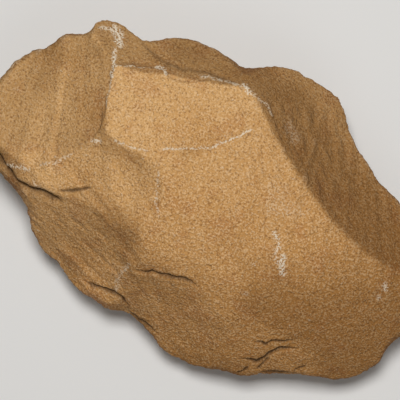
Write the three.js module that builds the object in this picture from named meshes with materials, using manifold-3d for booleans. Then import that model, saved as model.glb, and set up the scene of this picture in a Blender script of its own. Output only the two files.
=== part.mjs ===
// Stone hand axe: one block of coarse quartzite, flaked on both faces and lying on its underside.
// Millimetres, +Z up. +X runs along the axe, from its narrow lobed end to its broad end.
// The stone is cut the way it was knapped: a blank with the axe's outline has its old upper surface
// cleared off, then one flake scar after another is taken out of it. The ridges are where scars meet.
import * as THREE from 'three';
import { mergeVertices } from 'three/addons/utils/BufferGeometryUtils.js';
import Module from 'manifold-3d';

const wasm = await Module();
wasm.setup();

// Driving dimensions.
const OUTLINE_STEP = 4; // longest stretch of edge between two points
const FACET_SAG = 0.035; // how far a facet may stand off a curved scar
const LONGEST_CHORD = 30; // longest facet on a nearly flat scar
const BLANK_TOP = 62; // top of the blank before flaking
const BLANK_TOP_INSET = 30; // how far in from the edge that top lies
const BLANK_FOOT = -9; // foot of the blank before flaking
const BLANK_FOOT_INSET = 26;
const REST_LEVEL = 0; // the small flat that the axe lies on
const TOOL_HEIGHT = 90; // how far up every cutter runs
const TOOL_REACH = 85; // how far a scar's cutter runs each way
const FLOOR_WIDTH = 300; // the block that flattens the underside
const FLOOR_DEPTH = 60;

// The edge seen from above, clockwise from the narrow end: x, y, height of the edge, and how far
// the edge bows out (+) or in (-) on its way to the next corner.
const CORNERS = [
  [-88, 5, 30, 0.5],
  [-86, 16, 31, 0.6],
  [-79, 29, 33, -0.3],
  [-74, 32, 34, -0.4],
  [-71, 37.5, 35, 0.6],
  [-63.5, 41, 37, -0.8],
  [-61.5, 46, 39, 0.6],
  [-58.5, 49.5, 40, 0.6],
  [-52, 49.5, 39, 0],
  [-44, 46.5, 37, -0.6],
  [-38, 49, 36, 0.3],
  [-31, 53, 36, 0.6],
  [-21.5, 53.5, 36, 0.2],
  [-14, 52, 35, 0],
  [-6.5, 50.5, 35, -0.4],
  [1, 54, 33, 0.2],
  [8.5, 57, 31, 0.5],
  [15, 56.5, 29, 0.4],
  [26.5, 55.5, 27, 0.8],
  [33.5, 51, 26, 0.3],
  [38, 43.5, 25, -0.5],
  [46.5, 36, 24, -0.4],
  [57.5, 29, 23, 0.3],
  [64.5, 25.5, 22, 0.4],
  [77, 17, 21, 1],
  [84, 7, 20, 1],
  [85.5, -8, 20, 0.6],
  [82.5, -19, 19, -0.4],
  [79.5, -24.5, 19, -0.3],
  [79, -30, 18, 0.5],
  [75, -37.5, 18, 0.5],
  [67, -42.5, 17, 0.3],
  [62, -43.5, 17, -0.6],
  [44, -49, 16, -0.4],
  [36, -53, 16, 0.3],
  [30, -54, 16, -0.3],
  [18.5, -56.5, 15, 0.3],
  [10.5, -56.5, 15, 0.3],
  [2, -54.5, 15, -0.4],
  [-3.5, -51, 16, -0.2],
  [-8.5, -49, 16, -0.2],
  [-14, -47, 16, 0.3],
  [-22.5, -48.5, 16, 0],
  [-27, -47, 17, 0.2],
  [-34, -46, 17, 0.8],
  [-43, -40, 18, -0.2],
  [-50.5, -38.5, 19, 0.3],
  [-55, -34, 20, 0.2],
  [-59, -27.5, 21, -0.7],
  [-66, -21, 23, 0],
  [-74, -17, 25, 0.2],
  [-81, -12, 27, 0.5],
  [-86, -4, 29, 0.3],
];

// The blank's sides, from the edge towards the middle: how far in, and how far up or down.
const UPPER_SIDE = [[1.2, 3.5], [3.5, 7.5], [8, 12], [16, 22]];
const LOWER_SIDE = [[1, -3], [3, -7], [7, -12], [14, -19]];

// The old weathered surface that is left in the middle and over the broad end: a dome, flat in its middle
// and fallen by its drop at its reach along x and y, on a plane that leans down towards the broad end.
const CORTEX = {
  x: 17,
  y: 29,
  top: 51.2,
  reachX: 76,
  reachY: 54,
  drop: 10,
  power: 2.9,
  leanX: -0.145,
  leanY: -0.115,
};
const CORTEX_BLOCK = { width: 200, depth: 140, stepX: 5, stepY: 4 };

// Scars on the upper face: a point on the scar, the way it faces (degrees from +X, counter-clockwise),
// its dip that way in degrees, and the radii of its hollow along and across that way. Two of them roll over
// towards the edge instead of ending in it.
const UPPER_SCARS = [
  { name: 'plateau', x: -19, y: 30, z: 46.4, faces: 113, dip: 4.5, along: 80, across: 900 },
  { name: 'lobe', x: -68, y: 14, z: 36.3, faces: 190, dip: 17, along: 70, across: 600 },
  { name: 'lobe foot', x: -53, y: -8, z: 39.5, faces: 236, dip: 18, along: 200, across: 200 },
  { name: 'middle', x: -32, y: -8, z: 44.3, faces: 225, dip: 13, along: 75, across: 75 },
  { name: 'left flank', x: -52, y: -28, z: 31.6, faces: 232, dip: 36, along: 400, across: 300, roll: 22 },
  { name: 'lower left flank', x: -32, y: -36, z: 26.2, faces: 240, dip: 42, along: 400, across: 80, roll: 25 },
  { name: 'lower flank', x: -4, y: -45, z: 24, faces: 268, dip: 44, along: 200, across: 160 },
  { name: 'nub side', x: -50, y: 45, z: 42, faces: 38, dip: 36, along: 18, across: 14 },
  { name: 'upper flank near nub', x: -43, y: 41, z: 41.5, faces: 95, dip: 38, along: 60, across: 60 },
  { name: 'upper flank', x: -19, y: 46, z: 40.2, faces: 101, dip: 42, along: 25, across: 120 },
  { name: 'right flank head', x: 6, y: 48, z: 38, faces: 72, dip: 46, along: 40, across: 60 },
  { name: 'right flank', x: 39, y: 30, z: 30.8, faces: 51, dip: 38, along: 42, across: 400 },
  { name: 'plateau lip', x: -22, y: 41, z: 45.7, faces: 108, dip: 14, along: 40, across: 40 },
];

// Scars struck from the edge, one after another around it: the bearing of the point that the blow met, how
// far off the edge the scar starts, how steeply it runs in over or under the axe, and its hollow.
const UNDER_SCARS = [
  { bearing: 2, off: 4, dip: 27, along: 160, across: 90 },
  { bearing: 27, off: 4, dip: 30, along: 120, across: 70 },
  { bearing: 58, off: 8, dip: 34, along: 110, across: 60 },
  { bearing: 86, off: 7, dip: 36, along: 140, across: 70 },
  { bearing: 113, off: 8, dip: 38, along: 120, across: 60 },
  { bearing: 140, off: 11, dip: 34, along: 150, across: 60 },
  { bearing: 163, off: 8, dip: 29, along: 170, across: 60 },
  { bearing: 188, off: 4, dip: 28, along: 190, across: 50 },
  { bearing: 213, off: 8, dip: 31, along: 120, across: 55 },
  { bearing: 240, off: 8, dip: 28, along: 100, across: 60 },
  { bearing: 270, off: 4, dip: 29, along: 90, across: 80 },
  { bearing: 302, off: 4, dip: 28, along: 110, across: 80 },
  { bearing: 335, off: 4, dip: 25, along: 130, across: 90 },
];
const EDGE_CHIPS = [
  { bearing: 42, off: 3, dip: 30, along: 30, across: 20 },
  { bearing: 245, off: 4, dip: 33, along: 24, across: 40 },
  { bearing: 285, off: 4, dip: 36, along: 30, across: 50 },
  { bearing: 308, off: 5.5, dip: 29, along: 40, across: 60 },
  { bearing: 331, off: 3, dip: 32, along: 30, across: 26 },
  { bearing: 347, off: 3, dip: 36, along: 25, across: 20 },
];

const radians = THREE.MathUtils.degToRad;

// A solid from a closed BufferGeometry.
function solid(geometry) {
  geometry.deleteAttribute('normal');
  geometry.deleteAttribute('uv');
  const merged = mergeVertices(geometry, 1e-4);
  const mesh = new wasm.Mesh({
    numProp: 3,
    vertProperties: new Float32Array(merged.attributes.position.array),
    triVerts: new Uint32Array(merged.index.array),
  });
  return new wasm.Manifold(mesh);
}

// Points along the edge, with each bowed stretch as an arc: [x, y, height of the edge].
function edgePoints() {
  const points = [];
  CORNERS.forEach(([x, y, z, bow], i) => {
    const [nextX, nextY, nextZ] = CORNERS[(i + 1) % CORNERS.length];
    const length = Math.hypot(nextX - x, nextY - y);
    const steps = Math.max(1, Math.ceil(length / OUTLINE_STEP));
    for (let k = 0; k < steps; k++) {
      const t = k / steps;
      const out = 4 * bow * t * (1 - t);
      const px = THREE.MathUtils.lerp(x, nextX, t) - (out * (nextY - y)) / length;
      const py = THREE.MathUtils.lerp(y, nextY, t) + (out * (nextX - x)) / length;
      points.push([px, py, THREE.MathUtils.lerp(z, nextZ, t)]);
    }
  });
  return points;
}

// The edge stepped inwards towards the axe's middle, at its own height plus a rise, or at a set level.
function ring(edge, inset, rise, level = null) {
  return edge.map(([x, y, z]) => {
    const scale = 1 - inset / Math.hypot(x, y);
    return [x * scale, y * scale, level ?? z + rise];
  });
}

// The blank: rings stacked from its foot, over the edge, to its top, and closed at both ends.
function blank() {
  const edge = edgePoints();
  const rings = [
    ring(edge, BLANK_FOOT_INSET, 0, BLANK_FOOT),
    ...LOWER_SIDE.toReversed().map(([inset, rise]) => ring(edge, inset, rise)),
    edge,
    ...UPPER_SIDE.map(([inset, rise]) => ring(edge, inset, rise)),
    ring(edge, BLANK_TOP_INSET, 0, BLANK_TOP),
  ];
  const around = edge.length;
  const positions = rings.flat(2);
  const foot = rings.length * around;
  const top = foot + 1;
  positions.push(0, 0, BLANK_FOOT, 0, 0, BLANK_TOP);
  const index = [];
  for (let i = 0; i < around; i++) {
    const j = (i + 1) % around;
    index.push(foot, i, j);
    for (let r = 0; r < rings.length - 1; r++) {
      const a = r * around;
      const b = a + around;
      index.push(a + i, b + j, a + j, a + i, b + i, b + j);
    }
    const last = (rings.length - 1) * around;
    index.push(top, last + j, last + i);
  }
  const geometry = new THREE.BufferGeometry();
  geometry.setAttribute('position', new THREE.Float32BufferAttribute(positions, 3));
  geometry.setIndex(index);
  return geometry;
}

// A block whose underside follows a surface: everything of the stone above that surface goes.
// surface(u, v) is the height at u along and v across the block's own directions.
function cutter(width, depth, stepU, stepV, surface) {
  const across = Math.ceil(width / stepU);
  const along = Math.ceil(depth / stepV);
  const block = new THREE.BoxGeometry(width, depth, 2, across, along, 1);
  const points = block.attributes.position;
  for (let i = 0; i < points.count; i++) {
    const height = surface(points.getX(i), points.getY(i));
    points.setZ(i, points.getZ(i) < 0 ? Math.min(height, TOOL_HEIGHT - 1) : TOOL_HEIGHT);
  }
  return block;
}

// The longest chord that stays within FACET_SAG of an arc.
function chord(radius) {
  return Math.min(LONGEST_CHORD, Math.sqrt(8 * radius * FACET_SAG));
}

// A flake scar's cutter: a shallow hollow, dipping one way, opened upwards. With a roll, the scar turns over
// downwards from its point on, at that radius.
function flakeCutter({ x, y, z, faces, dip, along, across, roll = Infinity }) {
  const slope = Math.tan(radians(dip));
  const hollow = (u, v) => (u * u) / (2 * along) + (v * v) / (2 * across);
  const surface = (u, v) => z - slope * u + hollow(u, v) - Math.max(u, 0) ** 2 / (2 * roll);
  const stepAlong = chord(Math.min(along, roll));
  const block = cutter(2 * TOOL_REACH, 2 * TOOL_REACH, stepAlong, chord(across), surface);
  return block.rotateZ(radians(faces)).translate(x, y, 0);
}

// The cutter that clears everything above the old weathered surface.
function cortexCutter() {
  const c = CORTEX;
  const surface = (x, y) => {
    const out = Math.hypot((x - c.x) / c.reachX, (y - c.y) / c.reachY);
    return c.top - c.drop * out ** c.power + c.leanX * x + c.leanY * y;
  };
  const block = CORTEX_BLOCK;
  return cutter(block.width, block.depth, block.stepX, block.stepY, surface);
}

// The point of the edge whose own bearing from the middle is nearest to the one asked for.
function edgeAt(edge, bearing) {
  const cosineTo = ([x, y]) => (x * Math.cos(bearing) + y * Math.sin(bearing)) / Math.hypot(x, y);
  return edge.reduce((best, point) => (cosineTo(point) > cosineTo(best) ? point : best));
}

// The cutter of a scar struck from the edge: it works down from above, or is turned over to work from below.
function edgeCutter(edge, { bearing, off, dip, along, across }, fromBelow) {
  const [x, y, z] = edgeAt(edge, radians(bearing));
  const height = fromBelow ? off - z : off + z;
  const cut = flakeCutter({ x: 0, y: 0, z: height, faces: 0, dip, along, across });
  return cut.rotateX(fromBelow ? Math.PI : 0).rotateZ(radians(bearing)).translate(x, y, 0);
}

function handAxe() {
  const edge = edgePoints();
  let stone = solid(blank()).subtract(solid(cortexCutter()));
  for (const scar of UPPER_SCARS) {
    stone = stone.subtract(solid(flakeCutter(scar)));
  }
  for (const scar of UNDER_SCARS) {
    stone = stone.subtract(solid(edgeCutter(edge, scar, true)));
  }
  for (const chip of EDGE_CHIPS) {
    stone = stone.subtract(solid(edgeCutter(edge, chip, false)));
  }
  const floor = new THREE.BoxGeometry(FLOOR_WIDTH, FLOOR_WIDTH, FLOOR_DEPTH);
  floor.translate(0, 0, REST_LEVEL - FLOOR_DEPTH / 2);
  return stone.subtract(solid(floor));
}

// The solid as a geometry, with the middle of its box over the origin.
function geometryOf(stone) {
  const { vertProperties, triVerts } = stone.getMesh();
  const geometry = new THREE.BufferGeometry();
  geometry.setAttribute('position', new THREE.BufferAttribute(vertProperties, 3));
  geometry.setIndex(new THREE.BufferAttribute(triVerts, 1));
  geometry.computeBoundingBox();
  const middle = geometry.boundingBox.getCenter(new THREE.Vector3());
  geometry.translate(-middle.x, -middle.y, 0);
  geometry.computeVertexNormals();
  return geometry;
}

const quartzite = new THREE.MeshStandardMaterial({ color: 0xb48a58, roughness: 0.9, metalness: 0 });
const axe = new THREE.Mesh(geometryOf(handAxe()), quartzite);
axe.name = 'hand_axe';

const handAxeGroup = new THREE.Group();
handAxeGroup.add(axe);
export default handAxeGroup;
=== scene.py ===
"""Dresses the stone hand axe: weathered, knapped quartzite lying on a pale studio floor.

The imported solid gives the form. A finer skin is drawn over it, worn smooth where the solid has flat
facets, and then the small relief of the stone is worked in: steps where flakes broke off short, open
cracks, the ribs that fan out over a scar, chipped rims and grain. Sizes of the relief are in millimetres.
"""

import logging
import math
from dataclasses import dataclass, field
from enum import Enum

import bmesh
import bpy
import numpy as np
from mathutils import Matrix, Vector, noise

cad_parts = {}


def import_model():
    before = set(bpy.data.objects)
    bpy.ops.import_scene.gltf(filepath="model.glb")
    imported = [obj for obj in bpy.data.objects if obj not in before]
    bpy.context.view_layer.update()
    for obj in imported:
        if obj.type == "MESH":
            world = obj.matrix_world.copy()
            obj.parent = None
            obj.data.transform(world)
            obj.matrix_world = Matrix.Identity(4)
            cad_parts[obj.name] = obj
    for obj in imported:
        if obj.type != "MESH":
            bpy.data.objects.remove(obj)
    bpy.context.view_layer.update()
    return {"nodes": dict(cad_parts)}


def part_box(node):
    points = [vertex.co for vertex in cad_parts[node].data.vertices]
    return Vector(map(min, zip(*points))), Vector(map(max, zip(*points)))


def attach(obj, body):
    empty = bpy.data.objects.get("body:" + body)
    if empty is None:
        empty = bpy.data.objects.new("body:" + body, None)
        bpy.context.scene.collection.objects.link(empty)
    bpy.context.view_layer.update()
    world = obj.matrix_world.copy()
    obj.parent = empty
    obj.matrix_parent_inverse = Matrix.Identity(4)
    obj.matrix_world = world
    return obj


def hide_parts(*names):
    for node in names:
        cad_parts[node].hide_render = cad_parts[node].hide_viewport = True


log = logging.getLogger("hand_axe")

MM = 0.001
Point = tuple[float, float]


class Mark(Enum):
    """The maps that the relief leaves on the skin for the finish to read."""

    # Painted shade in the cracks, at the feet of the steps and in hollows.
    CREVICE_SHADE = "crevice_shade"
    BLOOM = "bloom"
    # Painted shade on the steep flanks.
    FLANK_SHADE = "flank_shade"
    RIM = "rim"
    # Pale ridges: partly wear, partly a painted highlight where the edges catch the light.
    WEAR_AND_HIGHLIGHT = "wear_and_highlight"
    ZONE = "zone"


def ease(low: float, high: float, value: np.ndarray) -> np.ndarray:
    """Blends smoothly from 0 to 1.

    Args:
        low: Where the blend is still 0.
        high: Where the blend has come to 1.
        value: The values to blend over.

    Returns:
        The blend for each value.
    """
    t = np.clip((value - low) / (high - low), 0.0, 1.0)
    return t * t * (3.0 - 2.0 * t)


def grain(points: np.ndarray, size: float, seed: float, octaves: int = 1) -> np.ndarray:
    """Reads a smooth, repeatable noise.

    Args:
        points: Places in millimetres, one row each.
        size: The width of one swelling of the noise, in millimetres.
        seed: Shifts the noise, so that each use has its own.
        octaves: How many finer noises are added, each half the size of the last.

    Returns:
        Values from about -1 to 1, one for each point.
    """
    shift = Vector((seed * 17.3, seed * 5.1, seed * 9.7))
    if octaves == 1:
        return np.array([noise.noise(Vector(p) + shift) for p in points / size])
    return np.array(
        [noise.fractal(Vector(p) + shift, 0.9, 2.0, octaves) for p in points / size]
    )


@dataclass(frozen=True)
class Path:
    """A line over the stone, seen from above, in millimetres."""

    points: tuple[Point, ...]

    def read(self, places: np.ndarray) -> tuple[np.ndarray, np.ndarray, np.ndarray]:
        """Measures places against the line.

        Args:
            places: Places in millimetres; only x and y are used.

        Returns:
            How far each place is from the line, on which side of it (1 to the left of its run, -1 to the
            right), and how far along it the nearest point lies, from 0 to 1.
        """
        line = np.array(self.points)
        runs = np.linalg.norm(np.diff(line, axis=0), axis=1)
        starts = np.concatenate([[0.0], np.cumsum(runs)])
        best = np.full(len(places), 1e9)
        side = np.ones(len(places))
        along = np.zeros(len(places))
        for i, run in enumerate(runs):
            step = (line[i + 1] - line[i]) / run
            rel = places[:, :2] - line[i]
            t = np.clip(rel @ step, 0.0, run)
            away = rel - t[:, None] * step
            distance = np.hypot(away[:, 0], away[:, 1])
            turn = np.where(step[0] * rel[:, 1] - step[1] * rel[:, 0] < 0.0, -1.0, 1.0)
            nearer = distance < best
            best[nearer] = distance[nearer]
            side[nearer] = turn[nearer]
            along[nearer] = (starts[i] + t[nearer]) / starts[-1]
        return best, side, along


@dataclass(frozen=True)
class Crack:
    """An open crack: a narrow valley that tapers to its ends, with one lip standing over the other."""

    path: Path
    width: float = 0.6
    depth: float = 0.8
    lip: float = 0.0
    open_start: bool = False

    def relief(self, places: np.ndarray) -> tuple[np.ndarray, np.ndarray]:
        """Works out what the crack does to the skin.

        Args:
            places: Places in millimetres, one row each.

        Returns:
            How far the skin moves out along its normal, in millimetres, and how deep in the crack each
            place is, from 0 to 1, which the finish darkens as painted shade.
        """
        away, side, along = self.path.read(places)
        start = np.ones_like(along) if self.open_start else ease(-0.02, 0.22, along)
        taper = start * (1.0 - ease(0.72, 1.02, along))
        width = self.width * (0.45 + 0.55 * taper)
        inside = np.exp(-((away / width) ** 2)) * taper
        lip = np.where(side > 0, 1.0, 0.0) * ease(0.2, 1.0, away / width)
        fade = np.exp(-away / 5.0)
        return -self.depth * inside + self.lip * lip * fade * taper, inside


@dataclass(frozen=True)
class Step:
    """A step where a flake broke off short: the stone left of the line stands up over the right."""

    path: Path
    rise: float = 0.5
    drop: float = 0.3
    ramp: float = 0.6
    rise_reach: float = 10.0
    drop_reach: float = 6.0
    # How dark the painted shade at the foot of the step is.
    foot_shade: float = 0.4

    def relief(self, places: np.ndarray) -> tuple[np.ndarray, np.ndarray]:
        """Works out what the step does to the skin.

        Args:
            places: Places in millimetres, one row each.

        Returns:
            How far the skin moves out along its normal, in millimetres, and how much painted shade
            falls at the foot of the step at each place, from 0 to 1.
        """
        away, side, along = self.path.read(places)
        signed = away * side
        ends = ease(-0.02, 0.14, along) * (1.0 - ease(0.84, 1.02, along))
        share = ease(-0.5 * self.ramp, 0.5 * self.ramp, signed)
        high = self.rise * np.exp(-np.maximum(signed, 0.0) / self.rise_reach)
        low = self.drop * np.exp(-np.maximum(-signed, 0.0) / self.drop_reach)
        foot = np.exp(-(((signed + 0.6 * self.ramp) / (0.35 * self.ramp + 0.25)) ** 2))
        return (share * high - (1.0 - share) * low) * ends, self.foot_shade * foot * ends


@dataclass(frozen=True)
class Grooves:
    """Fine wavy grooves that run side by side over part of a scar."""

    run: float
    spacing: float
    height: float
    middle: Point
    reach: float
    seed: float

    def relief(self, places: np.ndarray) -> np.ndarray:
        """Works out what the grooves do to the skin.

        Args:
            places: Places in millimetres, one row each.

        Returns:
            How far the skin moves out along its normal, in millimetres.
        """
        turn = math.radians(self.run)
        along = places[:, 0] * math.cos(turn) + places[:, 1] * math.sin(turn)
        across = places[:, 1] * math.cos(turn) - places[:, 0] * math.sin(turn)
        across = across + 0.8 * grain(places, 9.0, self.seed)
        lines = np.column_stack([along / (6.0 * self.spacing), across / self.spacing, 0.0 * along])
        waves = grain(lines, 1.0, self.seed + 1.0) + 0.5 * grain(lines, 0.5, self.seed + 2.0)
        off = np.hypot(places[:, 0] - self.middle[0], places[:, 1] - self.middle[1])
        return self.height * waves * (1.0 - ease(0.55 * self.reach, self.reach, off))


@dataclass(frozen=True)
class Ribs:
    """Low ribs that fan out over a flake scar from the side that the blow came from."""

    centre: Point
    spread: float
    height: float
    middle: Point
    reach: float
    seed: float

    def relief(self, places: np.ndarray) -> np.ndarray:
        """Works out what the ribs do to the skin.

        Args:
            places: Places in millimetres, one row each.

        Returns:
            How far the skin moves out along its normal, in millimetres.
        """
        rel = places[:, :2] - np.array(self.centre)
        bearing = np.degrees(np.arctan2(rel[:, 1], rel[:, 0])) / self.spread
        out = np.hypot(rel[:, 0], rel[:, 1])
        fan = np.column_stack([bearing, out / 60.0, np.zeros(len(out))])
        ribs = grain(fan, 1.0, self.seed) + 0.5 * grain(fan, 0.45, self.seed + 3.0)
        off = np.hypot(places[:, 0] - self.middle[0], places[:, 1] - self.middle[1])
        return self.height * ribs * (1.0 - ease(0.6 * self.reach, self.reach, off))


@dataclass(frozen=True)
class ShadePatch:
    """A soft-edged patch that deepens the painted shade on the flanks, or lightens it where its strength is
    below 0.
    """

    path: Path
    reach: float
    strength: float
    steeper: float = 0.0

    def shade(self, places: np.ndarray, tilt: np.ndarray) -> np.ndarray:
        """Works out how much the patch adds to the painted shade on the flanks.

        Args:
            places: Places in millimetres, one row each.
            tilt: How steep the stone is at each place, in degrees.

        Returns:
            What to add to the painted shade at each place.
        """
        away, _, _ = self.path.read(places)
        steep = ease(self.steeper - 14.0, self.steeper, tilt) if self.steeper else 1.0
        return self.strength * (1.0 - ease(0.45 * self.reach, self.reach, away)) * steep


@dataclass(frozen=True)
class Bloom:
    """A pale patch of lime or bruised stone along a line; some along step edges are partly a painted
    highlight.
    """

    path: Path
    width: float = 1.0
    strength: float = 1.0

    def cover(self, places: np.ndarray, ragged: np.ndarray) -> np.ndarray:
        """Works out how much of the patch covers each place.

        Args:
            places: Places in millimetres, one row each.
            ragged: A noise from -1 to 1 that breaks up the patch's edge.

        Returns:
            The cover, from 0 to 1.
        """
        away, _, _ = self.path.read(places)
        edge = away / self.width + 0.45 * ragged
        return self.strength * (1.0 - ease(0.45, 1.15, edge))


CRACKS = (
    Crack(Path(((-77.0, -9.5), (-73.5, -13.0), (-71.0, -14.0))), 1.1, 1.9, 0.3, open_start=True),
    Crack(
        Path(
            (
                (-70.5, -14.5),
                (-68.5, -16.0),
                (-66.0, -17.5),
                (-63.5, -17.5),
                (-60.0, -18.0),
                (-57.5, -17.5),
                (-53.0, -18.0),
                (-50.0, -18.0),
                (-46.5, -18.0),
            )
        ),
        1.3,
        2.6,
        0.7,
        open_start=True,
    ),
    Crack(Path(((-51.5, -15.0), (-48.0, -13.5), (-45.5, -12.5), (-41.5, -10.0), (-38.5, -8.5))), 0.5, 0.6),
    Crack(
        Path(
            (
                (-15.0, -31.0), (-11.5, -30.5), (-9.0, -29.5), (-4.0, -29.0), (1.5, -28.0),
                (5.0, -27.5), (9.5, -29.0),
            )
        ),
        0.6,
        1.0,
        0.35,
    ),
    Crack(
        Path(
            (
                (33.0, -40.0), (36.5, -38.5), (38.0, -39.0), (39.5, -37.0), (42.5, -36.0),
                (48.0, -33.5),
            )
        ),
        0.5, 0.8, 0.2,
    ),
    Crack(
        Path(
            (
                (31.0, -47.5), (34.5, -46.5), (37.5, -46.5), (39.0, -45.0), (41.5, -40.5),
                (43.5, -38.5), (50.5, -36.0),
            )
        ),
        0.7,
        1.3,
        0.4,
    ),
    Crack(Path(((32.5, -53.5), (34.5, -51.5), (36.0, -48.5))), 0.5, 0.7),
    Crack(Path(((38.5, -49.5), (40.0, -46.0), (41.5, -42.5))), 0.5, 0.7),
    Crack(Path(((40.5, -50.0), (43.5, -48.5), (46.0, -47.5), (51.0, -46.0))), 0.6, 0.8),
    Crack(Path(((51.5, -45.0), (53.5, -42.5), (55.0, -40.5))), 0.4, 0.5),
    Crack(
        Path(
            (
                (-31.5, -42.5), (-28.0, -42.5), (-24.5, -42.0), (-20.5, -42.0), (-16.5, -42.5),
                (-13.5, -44.0), (-11.0, -46.5),
            )
        ),
        0.7,
        1.1,
        0.4,
    ),
    Crack(Path(((-13.0, -46.0), (-10.5, -47.0), (-4.5, -48.5), (1.5, -50.5))), 0.6, 0.9),
)

STEPS = (
    Step(
        Path(
            (
                (-11.0, -13.0), (-14.5, -9.5), (-16.5, -6.0), (-18.0, -1.5), (-20.0, 4.5),
                (-21.5, 7.5), (-23.5, 10.0),
            )
        ),
        0.20,
        0.22,
        0.5,
        foot_shade=0.22,
    ),
    Step(
        Path(
            (
                (12.0, 36.0), (8.0, 33.0), (4.0, 29.5), (0.0, 25.0), (-4.5, 20.0), (-12.5, 16.0),
                (-21.5, 12.0), (-23.5, 10.0),
            )
        ),
        0.25,
        0.18,
        0.5,
        foot_shade=0.08,
    ),
    Step(Path(((-23.5, 10.0), (-32.0, 8.5), (-39.5, 8.5), (-45.5, 5.5))), 0.05, 0.3, 0.7, foot_shade=0.1),
    Step(
        Path(
            (
                (-50.0, 41.0), (-49.0, 37.0), (-48.0, 33.5), (-47.5, 28.5), (-45.5, 20.0),
                (-45.0, 12.5), (-46.0, 4.0),
            )
        ),
        0.15,
        1.3,
        2.2,
        drop_reach=4.0,
        foot_shade=0.0,
    ),
    Step(
        Path(
            (
                (-14.5, 41.5), (-19.0, 38.5), (-23.0, 37.0), (-27.0, 36.0), (-29.5, 37.5),
                (-31.5, 40.0),
            )
        ),
        0.0, 0.55, 0.6, foot_shade=0.3,
    ),
    Step(
        Path(
            (
                (-30.0, 39.0), (-36.0, 38.0), (-42.0, 36.5), (-49.0, 33.5),
            )
        ),
        0.1, 0.6, 0.8, drop_reach=4.0, foot_shade=0.3,
    ),
    Step(Path(((-45.0, 5.5), (-51.0, -1.5), (-59.5, -9.0), (-71.0, -13.0))), 0.3, 0.0, 1.0, foot_shade=0.1),
    Step(
        Path(
            (
                (12.0, -31.0), (5.0, -27.5), (-4.0, -29.0), (-11.5, -31.0), (-17.0, -32.0),
            )
        ),
        0.25, 0.5, 0.6, foot_shade=0.2,
    ),
    Step(
        Path(
            (
                (-12.0, -45.5), (-16.5, -42.5), (-24.5, -42.0), (-32.0, -42.5),
            )
        ),
        0.0, 0.7, 0.8, drop_reach=3.0, foot_shade=0.2,
    ),
    Step(
        Path(
            (
                (-43.0, 47.0), (-38.0, 44.5), (-33.0, 43.0), (-27.0, 42.5), (-18.0, 44.5),
                (-4.0, 45.0),
            )
        ),
        0.0, 0.6, 1.4, drop_reach=4.0, foot_shade=0.5,
    ),
)

RIBS = (
    Ribs((-80.0, 90.0), 2.2, 0.75, (-66.0, 15.0), 38.0, 1.0),
    Ribs((20.0, 110.0), 1.8, 0.45, (46.0, 22.0), 46.0, 2.0),
)

GROOVES = (
    Grooves(-24.0, 2.4, 0.75, (-43.0, -30.0), 32.0, 3.0),
    Grooves(-40.0, 2.8, 0.50, (-5.0, -46.0), 28.0, 5.0),
    Grooves(-52.0, 1.9, 0.75, (24.0, 30.0), 24.0, 7.0),
    Grooves(-15.0, 2.6, 0.55, (-22.0, 47.0), 26.0, 8.0),
    Grooves(-35.0, 3.0, 0.50, (58.0, 14.0), 30.0, 9.0),
)

# Patches that deepen or lift the painted shade on the flanks.
SHADE_PATCHES = (
    ShadePatch(Path(((-24.0, -42.0), (0.0, -46.0), (26.0, -40.0), (50.0, -44.0))), 13.0, -0.38),
    ShadePatch(Path(((-54.0, -24.0), (-32.0, -38.0))), 18.0, -0.35),
    ShadePatch(Path(((-80.0, 26.0), (-80.0, 2.0))), 19.0, 0.50),
    ShadePatch(Path(((-58.0, 24.0), (-60.0, 4.0))), 14.0, -0.22),
    ShadePatch(Path(((-21.0, 10.0), (-16.0, 0.0), (-15.0, -9.0))), 8.0, -0.45),
    ShadePatch(Path(((14.0, 42.0), (30.0, 30.0), (46.0, 22.0), (70.0, 10.0))), 13.0, 0.35, 36.0),
    ShadePatch(Path(((-25.0, 50.0), (0.0, 49.0))), 10.0, 0.25, 30.0),
    ShadePatch(Path(((-30.0, -4.0), (-40.0, -2.0), (-60.0, -12.0))), 10.0, -0.30),
    ShadePatch(Path(((8.0, 16.0), (30.0, 4.0))), 14.0, -0.25),
    ShadePatch(Path(((-8.0, -22.0), (14.0, -26.0))), 14.0, -0.45),
)

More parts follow.
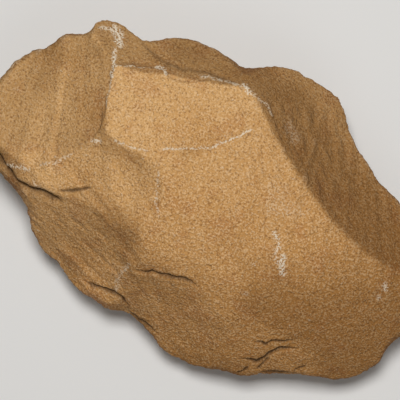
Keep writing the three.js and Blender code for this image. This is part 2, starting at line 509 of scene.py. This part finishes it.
BLOOMS = (
    Bloom(Path(((-57.0, 44.5), (-54.5, 46.0), (-51.5, 46.0))), 0.9, 0.8),
    Bloom(Path(((-53.0, 46.5), (-51.0, 45.0), (-49.0, 42.0))), 1.7, 1.0),
    Bloom(Path(((-50.0, 39.5), (-48.5, 34.5), (-47.5, 30.0))), 0.9, 1.0),
    Bloom(Path(((-47.5, 30.0), (-46.5, 25.0), (-45.5, 19.0))), 0.5, 0.7),
    Bloom(Path(((-48.5, 33.5), (-42.0, 36.0), (-36.0, 38.0))), 0.4, 0.6),
    Bloom(Path(((-34.0, 39.0), (-31.5, 39.5), (-29.5, 37.5))), 0.8, 0.85),
    Bloom(Path(((-18.0, 42.0), (-8.0, 43.5), (-2.0, 43.0), (7.0, 40.5), (10.0, 37.5))), 0.55, 0.65),
    Bloom(Path(((-2.5, 43.5), (0.0, 42.5))), 1.1, 0.9),
    # Pale line along a step edge: worn white stone, partly a painted highlight on the riser.
    Bloom(Path(((-21.0, 12.5), (-12.5, 16.0), (-5.0, 19.5), (0.0, 24.5), (5.0, 30.0))), 0.48, 0.85),
    Bloom(Path(((-45.5, 6.5), (-43.0, 7.0))), 0.8, 0.8),
    Bloom(Path(((-38.0, 9.0), (-32.0, 9.0), (-26.0, 10.0))), 0.42, 0.75),
    # Pale line along a step edge: worn white stone, partly a painted highlight on the riser.
    Bloom(Path(((-19.5, 4.5), (-18.0, -1.0), (-16.5, -6.0), (-14.0, -9.5))), 0.42, 0.65),
    Bloom(Path(((-50.0, -0.5), (-55.0, -5.5), (-60.0, -8.5))), 0.7, 0.45),
    Bloom(Path(((-72.0, -13.0), (-66.0, -11.5), (-63.0, -11.5))), 0.7, 0.7),
    Bloom(Path(((-60.0, -14.5), (-56.0, -17.0), (-53.0, -17.5))), 0.5, 0.6),
    Bloom(Path(((26.0, -0.5), (28.5, -2.5), (29.5, -4.5), (29.0, -6.5))), 0.8, 0.9),
    Bloom(Path(((32.0, -7.5), (32.5, -9.5), (34.0, -13.0))), 1.3, 1.0),
    Bloom(Path(((29.0, -8.0), (31.0, -10.0))), 0.5, 0.7),
    Bloom(Path(((23.5, -13.5), (24.0, -14.0))), 0.6, 0.6),
    Bloom(Path(((24.0, -24.0), (24.5, -24.5))), 0.8, 0.4),
    Bloom(Path(((22.0, 7.0), (30.0, 9.0))), 3.2, 0.15),
    Bloom(Path(((20.0, 14.0), (24.0, 11.0))), 3.5, 0.10),
    Bloom(Path(((69.5, -3.5), (70.5, -5.0))), 0.8, 0.7),
    Bloom(Path(((69.0, -8.5), (70.0, -9.0))), 0.7, 0.6),
    Bloom(Path(((-17.5, -30.0), (-19.0, -33.0), (-19.5, -38.0), (-19.0, -41.0))), 0.9, 0.4),
    Bloom(Path(((17.0, 36.5), (21.0, 33.0))), 2.2, 0.15),
)


@dataclass
class StoneSkin:
    """The stone's finer skin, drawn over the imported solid."""

    node: str
    fineness: float = 0.82
    crack_band: float = 1.0
    wear_rounds: int = 3
    swell_sizes: tuple[float, float, float] = (13.0, 5.0, 2.2)
    swell: tuple[float, float, float] = (0.26, 0.20, 0.12)
    rim_chipping: float = 0.7
    rim_chip_size: float = 3.6
    resting_band: float = 0.9
    # How steep a place must be before painted shade darkens it, and how dark it gets.
    shade_tilt: tuple[float, float] = (9.0, 27.0)
    shade_most: float = 0.72
    bend_seen: tuple[float, float] = (0.035, 0.16)
    bend_rounds: int = 3
    zone_span: float = 130.0
    piece: bpy.types.Object = field(init=False, default=None)

    def build(self, solid: bpy.types.Object) -> bpy.types.Object:
        """Draws the skin over the solid and works the relief into it.

        Args:
            solid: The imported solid, which stays as it is.

        Returns:
            The finished piece.
        """
        self.piece = self._closed_copy(solid)
        self._remesh()
        self._wear()
        self._refine_near_cracks()
        self._carve()
        return self.piece

    def _closed_copy(self, solid: bpy.types.Object) -> bpy.types.Object:
        """Copies the solid and joins its loose triangles.

        Args:
            solid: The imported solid.

        Returns:
            A new object with one closed mesh.
        """
        mesh = bpy.data.meshes.new("weathered_stone")
        bm = bmesh.new()
        bm.from_mesh(solid.data)
        bmesh.ops.remove_doubles(bm, verts=bm.verts, dist=1e-6)
        bm.to_mesh(mesh)
        bm.free()
        mesh.materials.clear()
        piece = bpy.data.objects.new("weathered_stone", mesh)
        bpy.context.scene.collection.objects.link(piece)
        return piece

    def _remesh(self) -> None:
        """Replaces the uneven facets with an even net of small faces."""
        remesh = self.piece.modifiers.new("even_net", "REMESH")
        remesh.mode = "VOXEL"
        remesh.voxel_size = self.fineness * MM
        graph = bpy.context.evaluated_depsgraph_get()
        evened = bpy.data.meshes.new_from_object(self.piece.evaluated_get(graph))
        self.piece.modifiers.clear()
        old = self.piece.data
        self.piece.data = evened
        bpy.data.meshes.remove(old)
        evened.name = "weathered_stone"

    def _wear(self) -> None:
        """Wears the facets and ridges down a little."""
        bm = bmesh.new()
        bm.from_mesh(self.piece.data)
        for _ in range(self.wear_rounds):
            bmesh.ops.smooth_vert(
                bm, verts=bm.verts, factor=0.5, use_axis_x=True, use_axis_y=True, use_axis_z=True
            )
        bm.to_mesh(self.piece.data)
        bm.free()

    def _refine_near_cracks(self) -> None:
        """Splits the faces that a crack or a step runs through, so that it comes out crisp."""
        bm = bmesh.new()
        bm.from_mesh(self.piece.data)
        bm.verts.ensure_lookup_table()
        places = np.array([v.co[:] for v in bm.verts]) / MM
        upward = np.array([v.normal.z for v in bm.verts]) > -0.2
        near = np.zeros(len(places), dtype=bool)
        for mark in (*CRACKS, *STEPS):
            away, _, _ = mark.path.read(places)
            near |= (away < self.crack_band) & upward
        faces = [f for f in bm.faces if any(near[v.index] for v in f.verts)]
        edges = list({e for f in faces for e in f.edges})
        bmesh.ops.subdivide_edges(bm, edges=edges, cuts=1, use_grid_fill=True)
        bmesh.ops.triangulate(bm, faces=[f for f in bm.faces if len(f.verts) > 4])
        bm.to_mesh(self.piece.data)
        bm.free()

    def _carve(self) -> None:
        """Moves the skin's points to make the relief, and leaves its maps for the finish."""
        mesh = self.piece.data
        count = len(mesh.vertices)
        flat = np.empty(count * 3)
        mesh.vertices.foreach_get("co", flat)
        places = flat.reshape(-1, 3) / MM
        flat = np.empty(count * 3, dtype=np.float32)
        mesh.vertex_normals.foreach_get("vector", flat)
        normals = flat.reshape(-1, 3).astype(float)
        low, high = places.min(axis=0), places.max(axis=0)

        wander = np.column_stack(
            [
                0.45 * grain(places, 3.2, 11.0) + 0.2 * grain(places, 1.1, 12.0),
                0.45 * grain(places, 3.2, 13.0) + 0.2 * grain(places, 1.1, 14.0),
                np.zeros(count),
            ]
        )
        warped = places + wander
        above = ease(-0.15, 0.2, normals[:, 2])
        tilt = np.degrees(np.arccos(np.clip(normals[:, 2], -1.0, 1.0)))
        rim = ease(0.75, 0.25, np.abs(normals[:, 2]))

        move = np.zeros(count)
        for size, height in zip(self.swell_sizes, self.swell):
            move += height * grain(places, size, 20.0 + size)
        for ribs in RIBS:
            move += ribs.relief(places) * above
        # The insides of the cracks and the feet of the steps get painted shade.
        crevice_shade = np.zeros(count)
        for crack in CRACKS:
            shift, inside = crack.relief(warped)
            move += shift * above
            crevice_shade = np.maximum(crevice_shade, inside * above)
        for step in STEPS:
            shift, foot = step.relief(warped)
            move += shift * above
            crevice_shade = np.maximum(crevice_shade, foot * above)
        for grooves in GROOVES:
            move += grooves.relief(places) * above
        move -= self.rim_chipping * rim * np.abs(grain(places, self.rim_chip_size, 31.0, 3))

        resting = ease(self.resting_band, 0.2, places[:, 2])
        move *= 1.0 - resting
        carved = places + normals * move[:, None]
        near, far = (np.array(corner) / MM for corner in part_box("hand_axe"))
        carved = np.clip(carved, np.maximum(low, near), np.minimum(high, far))
        mesh.vertices.foreach_set("co", (carved * MM).astype(np.float32).ravel())

        ragged = grain(places, 1.1, 41.0, 2)
        bloom = np.zeros(count)
        for patch in BLOOMS:
            bloom = np.maximum(bloom, patch.cover(warped, ragged) * above)
        # Painted shade: the steeper a place, the darker it is painted, as the light falls off on the
        # flanks.
        flank_shade = self.shade_most * ease(*self.shade_tilt, tilt + 3.0 * grain(places, 9.0, 51.0))
        for shade_patch in SHADE_PATCHES:
            flank_shade += shade_patch.shade(warped, tilt) * above
        flank_shade = np.clip(flank_shade, 0.0, 1.0)
        bend = self._bend(carved, normals, self.bend_rounds)
        # Hollows get painted shade too.
        crevice_shade = np.clip(crevice_shade + ease(*self.bend_seen, bend), 0.0, 1.0)
        # Ridges are paled: partly wear, partly a painted highlight.
        wear_and_highlight = ease(*self.bend_seen, -bend)
        slant = places[:, 0] - places[:, 1] + 6.0 * grain(places, 18.0, 61.0)
        zone = np.clip(0.5 + slant / self.zone_span, 0.0, 1.0)
        self._keep(Mark.CREVICE_SHADE, crevice_shade)
        self._keep(Mark.BLOOM, bloom)
        self._keep(Mark.FLANK_SHADE, flank_shade)
        self._keep(Mark.RIM, rim)
        self._keep(Mark.WEAR_AND_HIGHLIGHT, wear_and_highlight)
        self._keep(Mark.ZONE, zone)
        mesh.polygons.foreach_set("use_smooth", np.ones(len(mesh.polygons), dtype=bool))
        mesh.update()

    def _bend(self, places: np.ndarray, normals: np.ndarray, rounds: int) -> np.ndarray:
        """Measures how the skin bends from point to point.

        Args:
            places: The skin's points in millimetres.
            normals: The skin's normals.
            rounds: How often the measure is averaged with its neighbours.

        Returns:
            The height of the neighbours over each point, in millimetres: above 0 in a hollow.
        """
        mesh = self.piece.data
        flat = np.empty(len(mesh.edges) * 2, dtype=np.int32)
        mesh.edges.foreach_get("vertices", flat)
        first, second = flat.reshape(-1, 2).T
        count = np.bincount(first, minlength=len(places)) + np.bincount(second, minlength=len(places))

        def around(values: np.ndarray) -> np.ndarray:
            """Averages a value over each point's neighbours."""
            total = np.bincount(first, values[second], len(places))
            total += np.bincount(second, values[first], len(places))
            return total / count

        mean = np.column_stack([around(places[:, axis]) for axis in range(3)])
        bend = np.einsum("ij,ij->i", mean - places, normals)
        for _ in range(rounds):
            bend = 0.4 * bend + 0.6 * around(bend)
        return bend

    def _keep(self, mark: Mark, values: np.ndarray) -> None:
        """Stores one map on the skin's points.

        Args:
            mark: Which map it is.
            values: Its value at each point, from 0 to 1.
        """
        layer = self.piece.data.attributes.new(mark.value, "FLOAT", "POINT")
        layer.data.foreach_set("value", values.astype(np.float32))

    def dress(self, finish: "Quartzite") -> None:
        """Gives the piece its finish and says what it stands for.

        Args:
            finish: The finish of the stone.
        """
        self.piece.data.materials.append(finish.material())
        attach(self.piece, "root")
        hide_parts(self.node)


@dataclass(frozen=True)
class Quartzite:
    """Ochre-brown quartzite: sugary grain, painted shade on the steep flanks and in the cracks, lime in the
    hollows.
    """

    light: tuple[float, float, float] = (0.620, 0.355, 0.138)
    deep: tuple[float, float, float] = (0.460, 0.222, 0.064)
    # The tint of the painted shade on the steep flanks.
    flank_shade: tuple[float, float, float] = (0.52, 0.475, 0.41)
    # The colour of the painted shade in the cracks, at the step feet and in hollows.
    crevice_shade: tuple[float, float, float] = (0.085, 0.045, 0.020)
    # Pale lime; also the colour of the painted glints and the painted ridge highlights.
    lime_and_highlight: tuple[float, float, float] = (0.78, 0.68, 0.53)
    rust: tuple[float, float, float] = (0.36, 0.135, 0.040)
    dark_grain: tuple[float, float, float] = (0.20, 0.085, 0.026)
    pale_grain: tuple[float, float, float] = (0.86, 0.60, 0.34)
    cloud_scale: float = 45.0
    stain_scale: float = 120.0
    glint_scale: float = 700.0
    sugar_scale: float = 1250.0
    fleck_scale: float = 1500.0
    specular: float = 0.12
    roughness: tuple[float, float] = (0.72, 0.95)

    def material(self) -> bpy.types.Material:
        """Builds the shader.

        Returns:
            The material.
        """
        material = bpy.data.materials.new("weathered_quartzite")
        material.use_nodes = True
        tree = material.node_tree
        tree.nodes.clear()
        out = tree.nodes.new("ShaderNodeOutputMaterial")
        shader = tree.nodes.new("ShaderNodeBsdfPrincipled")
        tree.links.new(shader.outputs["BSDF"], out.inputs["Surface"])
        shader.inputs["Specular IOR Level"].default_value = self.specular
        where = tree.nodes.new("ShaderNodeTexCoord").outputs["Object"]

        clouds = self._noise(tree, where, self.cloud_scale, 3.0)
        stains = self._noise(tree, where, self.stain_scale, 4.0)
        sugar = self._noise(tree, where, self.sugar_scale, 2.0)
        fleck = self._noise(tree, where, self.fleck_scale, 1.5)
        glint = self._noise(tree, where, self.glint_scale, 2.5)

        body = self._mix(tree, self._read(tree, Mark.ZONE), self.light, self.deep)
        body = self._mix(tree, self._ramp(tree, clouds, 0.42, 0.70), body, self.deep, 0.50)
        body = self._mix(tree, self._ramp(tree, stains, 0.50, 0.72), body, self.rust, 0.36)
        rusty = self._times(tree, self._read(tree, Mark.RIM), self._ramp(tree, stains, 0.38, 0.6))
        body = self._mix(tree, rusty, body, self.rust, 0.6)
        body = self._mix(tree, self._ramp(tree, sugar, 0.50, 0.66), body, self.dark_grain, 0.54)
        body = self._mix(tree, self._ramp(tree, fleck, 0.46, 0.66), body, self.pale_grain, 0.44)
        # Painted glints: sparse pale spots stand in for the sparkle of quartz grains.
        body = self._mix(tree, self._ramp(tree, glint, 0.69, 0.76), body, self.lime_and_highlight, 0.4)
        # Painted shade on the steep flanks.
        body = self._shade(tree, self._read(tree, Mark.FLANK_SHADE), body, self.flank_shade)
        # Ridges paled: partly wear, partly a painted highlight.
        worn_and_lit = self._times(tree, self._read(tree, Mark.WEAR_AND_HIGHLIGHT), self._ramp(tree, sugar, 0.62, 0.42))
        body = self._mix(tree, worn_and_lit, body, self.lime_and_highlight, 0.40)
        limy = self._times(tree, self._read(tree, Mark.BLOOM), self._ramp(tree, fleck, 0.40, 0.54))
        body = self._mix(tree, limy, body, self.lime_and_highlight, 0.85)
        # Painted shade: cracks, step feet and hollows are darkened to near black.
        body = self._mix(tree, self._read(tree, Mark.CREVICE_SHADE), body, self.crevice_shade, 0.85)
        tree.links.new(body, shader.inputs["Base Color"])

        rough = tree.nodes.new("ShaderNodeMapRange")
        rough.inputs["To Min"].default_value = self.roughness[0]
        rough.inputs["To Max"].default_value = self.roughness[1]
        tree.links.new(sugar, rough.inputs["Value"])
        tree.links.new(rough.outputs["Result"], shader.inputs["Roughness"])

        pits = self._bump(tree, stains, 0.5, 0.9, None)
        coarse = self._bump(tree, glint, 0.8, 0.7, pits)
        fine = self._bump(tree, fleck, 0.9, 0.5, coarse)
        tree.links.new(fine, shader.inputs["Normal"])
        return material

    def _shade(
        self,
        tree: bpy.types.NodeTree,
        factor: bpy.types.NodeSocket,
        body: bpy.types.NodeSocket,
        tint: tuple[float, float, float],
    ) -> bpy.types.NodeSocket:
        """Darkens a colour by multiplying it with a tint.

        Args:
            tree: The material's nodes.
            factor: How much of the tint shows.
            body: The colour to darken.
            tint: The tint.

        Returns:
            The socket with the darker colour.
        """
        node = tree.nodes.new("ShaderNodeMix")
        node.data_type = "RGBA"
        node.blend_type = "MULTIPLY"
        tree.links.new(factor, node.inputs["Factor"])
        tree.links.new(body, node.inputs["A"])
        node.inputs["B"].default_value = (*tint, 1.0)
        return node.outputs["Result"]

    def _times(
        self,
        tree: bpy.types.NodeTree,
        first: bpy.types.NodeSocket,
        second: bpy.types.NodeSocket,
    ) -> bpy.types.NodeSocket:
        """Multiplies two masks.

        Args:
            tree: The material's nodes.
            first: One mask.
            second: The other mask.

        Returns:
            The socket with the product.
        """
        node = tree.nodes.new("ShaderNodeMath")
        node.operation = "MULTIPLY"
        tree.links.new(first, node.inputs[0])
        tree.links.new(second, node.inputs[1])
        return node.outputs[0]

    def _noise(
        self,
        tree: bpy.types.NodeTree,
        where: bpy.types.NodeSocket,
        scale: float,
        detail: float,
    ) -> bpy.types.NodeSocket:
        """Adds a noise texture.

        Args:
            tree: The material's nodes.
            where: The coordinates to read.
            scale: Swellings per metre.
            detail: How many finer noises are added.

        Returns:
            The socket with its value.
        """
        node = tree.nodes.new("ShaderNodeTexNoise")
        node.inputs["Scale"].default_value = scale
        node.inputs["Detail"].default_value = detail
        tree.links.new(where, node.inputs["Vector"])
        return node.outputs["Fac"]

    def _ramp(
        self,
        tree: bpy.types.NodeTree,
        value: bpy.types.NodeSocket,
        low: float,
        high: float,
    ) -> bpy.types.NodeSocket:
        """Stretches a value so that low becomes 0 and high becomes 1.

        Args:
            tree: The material's nodes.
            value: The socket to stretch.
            low: The value that becomes 0.
            high: The value that becomes 1.

        Returns:
            The socket with the stretched value.
        """
        node = tree.nodes.new("ShaderNodeMapRange")
        node.interpolation_type = "SMOOTHSTEP"
        node.inputs["From Min"].default_value = low
        node.inputs["From Max"].default_value = high
        tree.links.new(value, node.inputs["Value"])
        return node.outputs["Result"]

    def _read(self, tree: bpy.types.NodeTree, mark: Mark) -> bpy.types.NodeSocket:
        """Reads one of the skin's maps.

        Args:
            tree: The material's nodes.
            mark: Which map.

        Returns:
            The socket with its value.
        """
        node = tree.nodes.new("ShaderNodeAttribute")
        node.attribute_name = mark.value
        return node.outputs["Fac"]

    def _mix(
        self,
        tree: bpy.types.NodeTree,
        factor: bpy.types.NodeSocket,
        first: "bpy.types.NodeSocket | tuple[float, float, float]",
        second: tuple[float, float, float],
        most: float = 1.0,
    ) -> bpy.types.NodeSocket:
        """Mixes two colours.

        Args:
            tree: The material's nodes.
            factor: How much of the second colour shows.
            first: The colour beneath, as a colour or a socket.
            second: The colour on top.
            most: The most of the second colour that ever shows.

        Returns:
            The socket with the mixed colour.
        """
        share = tree.nodes.new("ShaderNodeMath")
        share.operation = "MULTIPLY"
        share.inputs[1].default_value = most
        tree.links.new(factor, share.inputs[0])
        node = tree.nodes.new("ShaderNodeMix")
        node.data_type = "RGBA"
        tree.links.new(share.outputs[0], node.inputs["Factor"])
        if isinstance(first, tuple):
            node.inputs["A"].default_value = (*first, 1.0)
        else:
            tree.links.new(first, node.inputs["A"])
        node.inputs["B"].default_value = (*second, 1.0)
        return node.outputs["Result"]

    def _bump(
        self,
        tree: bpy.types.NodeTree,
        height: bpy.types.NodeSocket,
        strength: float,
        depth: float,
        under: "bpy.types.NodeSocket | None",
    ) -> bpy.types.NodeSocket:
        """Adds a bump.

        Args:
            tree: The material's nodes.
            height: The socket that gives the height.
            strength: How much of the bump shows.
            depth: The height of the bump in millimetres.
            under: A coarser bump's normal to lie on, or None.

        Returns:
            The socket with the normal.
        """
        node = tree.nodes.new("ShaderNodeBump")
        node.inputs["Strength"].default_value = strength
        node.inputs["Distance"].default_value = depth * MM
        tree.links.new(height, node.inputs["Height"])
        if under is not None:
            tree.links.new(under, node.inputs["Normal"])
        return node.outputs["Normal"]


@dataclass(frozen=True)
class Studio:
    """A pale floor, soft light and the camera that looks down on the axe."""

    floor_width: float = 3.0
    camera_height: float = 0.925
    camera_over: Point = (-0.00254, 0.00062)
    camera_turn: float = 21.3
    lens: float = 225.0

    def build(self) -> None:
        """Builds the floor, the lights and the camera."""
        self._floor()
        self._lights()
        self._camera()

    def _floor(self) -> None:
        """Lays the floor."""
        mesh = bpy.data.meshes.new("floor")
        bm = bmesh.new()
        bmesh.ops.create_grid(bm, x_segments=1, y_segments=1, size=self.floor_width / 2)
        bm.to_mesh(mesh)
        bm.free()
        floor = bpy.data.objects.new("floor", mesh)
        bpy.context.scene.collection.objects.link(floor)
        material = bpy.data.materials.new("pale_floor")
        material.use_nodes = True
        shader = material.node_tree.nodes["Principled BSDF"]
        shader.inputs["Base Color"].default_value = (0.72, 0.71, 0.69, 1.0)
        shader.inputs["Roughness"].default_value = 0.9
        mesh.materials.append(material)

    def _lights(self) -> None:
        """Hangs a soft lamp near the camera and lets in a little light from all round."""
        self._lamp("key", (-0.12, 0.24, 1.05), 0.3, 9.3)
        self._lamp("fill", (0.45, -0.5, 0.9), 0.9, 1.6)
        world = bpy.data.worlds.new("studio")
        world.use_nodes = True
        world.node_tree.nodes["Background"].inputs["Color"].default_value = (1.0, 0.98, 0.95, 1.0)
        world.node_tree.nodes["Background"].inputs["Strength"].default_value = 0.10
        bpy.context.scene.world = world

    def _lamp(self, name: str, place: tuple[float, float, float], size: float, power: float) -> None:
        """Hangs one square lamp that points at the axe.

        Args:
            name: Its name.
            place: Where it hangs, in metres.
            size: Its width in metres.
            power: Its power in watts.
        """
        data = bpy.data.lights.new(name, "AREA")
        data.size = size
        data.energy = power
        lamp = bpy.data.objects.new(name, data)
        lamp.location = place
        lamp.rotation_euler = (Vector((0.0, 0.0, 0.03)) - Vector(place)).to_track_quat("-Z", "Y").to_euler()
        bpy.context.scene.collection.objects.link(lamp)

    def _camera(self) -> None:
        """Sets the camera straight above the axe."""
        data = bpy.data.cameras.new("camera")
        data.lens = self.lens
        data.sensor_width = 36.0
        data.clip_start = 0.05
        data.clip_end = 10.0
        camera = bpy.data.objects.new("camera", data)
        camera.location = (*self.camera_over, self.camera_height)
        camera.rotation_euler = (0.0, 0.0, math.radians(self.camera_turn))
        bpy.context.scene.collection.objects.link(camera)
        bpy.context.scene.camera = camera


def main() -> None:
    """Builds the dressed hand axe and its studio."""
    logging.basicConfig(level=logging.INFO, format="%(name)s: %(message)s")
    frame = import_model()
    bpy.context.scene.view_settings.view_transform = "Standard"

    stone = StoneSkin("hand_axe")
    piece = stone.build(frame["nodes"]["hand_axe"])
    stone.dress(Quartzite())
    log.info("weathered stone: %d points, %d faces", len(piece.data.vertices), len(piece.data.polygons))
    Studio().build()
    log.info("studio: floor, lamps and camera")


if __name__ == "__main__":
    main()
